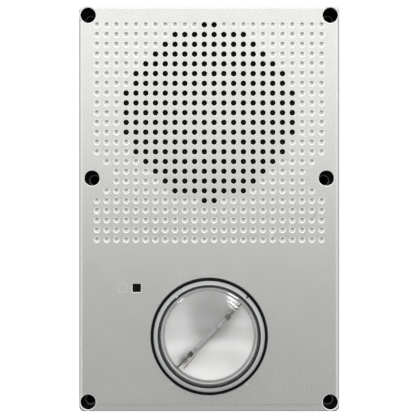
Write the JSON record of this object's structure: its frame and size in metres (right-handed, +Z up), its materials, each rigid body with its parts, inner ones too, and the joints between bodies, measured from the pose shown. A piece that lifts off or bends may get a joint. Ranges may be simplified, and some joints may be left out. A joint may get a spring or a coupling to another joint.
{
  "type": "wall speaker strobe alarm",
  "caption": "Weatherproof wall alarm: perforated cover over a loudspeaker, round flash lens below, screw wells at its edges, rear housing with terminals and selectors.",
  "frame": {"origin": "middle of the four corner screws, on the rear face of the gasket, which lies on the wall or back box", "axes": "+X to the right seen from the front, +Z up, -Y out of the wall towards the viewer"},
  "size_m": [0.1334, 0.072, 0.208],
  "materials": {
    "silver_paint": "silver-grey textured paint on moulded plastic",
    "black_rubber": "matt black",
    "zinc_steel": "zinc plated",
    "clear_polycarbonate": "clear moulded",
    "black_plastic": "matt black",
    "metallised_bowl": "vacuum metallised",
    "tube_glass": "clear",
    "nickel": "nickel",
    "smoked_pane": "smoked",
    "screen_mesh": "fine moulded mesh",
    "basket_steel": "black painted",
    "paper_cone": "treated paper",
    "copper": "enamelled copper",
    "spider_cloth": "resin-dipped cloth",
    "ferrite": "sintered",
    "lamination": "varnished steel laminations",
    "ivory_plastic": "natural nylon",
    "winding_tape": "polyester tape",
    "circuit_board": "solder mask",
    "capacitor_sleeve": "shrink sleeve",
    "blue_sleeve": "shrink sleeve",
    "white_plastic": "moulded",
    "terminal_plastic": "moulded",
    "brass": "plain",
    "housing_plastic": "fine moulded texture",
    "red_wire": "insulated"
  },
  "bodies": {
    "housing": {"front_cover": "silver_paint", "perimeter_gasket": "black_rubber", "compression_bushes": "zinc_steel", "lens_seal": "black_rubber", "strobe_lens": "clear_polycarbonate", "strobe_bracket": "black_plastic", "bracket_screws": "zinc_steel", "strobe_reflector": "metallised_bowl", "flash_tube": "tube_glass", "tube_electrodes": "nickel", "tube_leads": "nickel", "trigger_wire": "nickel", "window_pane": "smoked_pane", "acoustic_screen": "screen_mesh", "speaker_gasket": "black_rubber", "speaker_basket": "basket_steel", "speaker_screws": "zinc_steel", "magnet_front_plate": "zinc_steel", "ferrite_magnet": "ferrite", "magnet_yoke": "zinc_steel", "transformer_core": "lamination", "transformer_bobbin": "ivory_plastic", "transformer_winding": "winding_tape", "transformer_bracket": "zinc_steel", "transformer_screws": "zinc_steel", "strobe_board": "circuit_board", "flash_capacitor": "capacitor_sleeve", "trigger_coil": "black_plastic", "power_inductor": "copper", "audio_board": "circuit_board", "blocking_capacitor": "blue_sleeve", "board_screws": "zinc_steel", "tap_switch": "black_plastic", "voltage_switch": "zinc_steel", "terminal_block": "terminal_plastic", "terminal_screws": "brass", "rear_housing": "housing_plastic", "housing_screws": "zinc_steel", "speaker_leads": "red_wire"},
    "cone": {"speaker_cone": "paper_cone", "dust_cap": "paper_cone", "voice_coil": "copper", "cone_surround": "black_rubber", "spider": "spider_cloth"},
    "candela_slider": {"candela_slider": "black_plastic"},
    "tap_knob": {"tap_knob": "white_plastic"},
    "voltage_slider": {"voltage_slider": "white_plastic"}
  },
  "joints": [
    {"name": "cone_travel", "type": "slide", "parent": "housing", "child": "cone", "axis": [0, -1, 0], "range_m": [-0.0015, 0.0015], "stiffness_N_per_m": 1500, "deforming": ["cone_surround", "spider"]},
    {"name": "candela_select", "type": "slide", "parent": "housing", "child": "candela_slider", "axis": [0, 0, -1], "range_m": [0, 0.015]},
    {"name": "tap_select", "type": "hinge", "parent": "housing", "child": "tap_knob", "pos_m": [0.031, 0.03, -0.018], "axis": [0, 1, 0], "range_deg": [0, 150]},
    {"name": "voltage_select", "type": "slide", "parent": "housing", "child": "voltage_slider", "axis": [1, 0, 0], "range_m": [0, 0.003]}
  ]
}
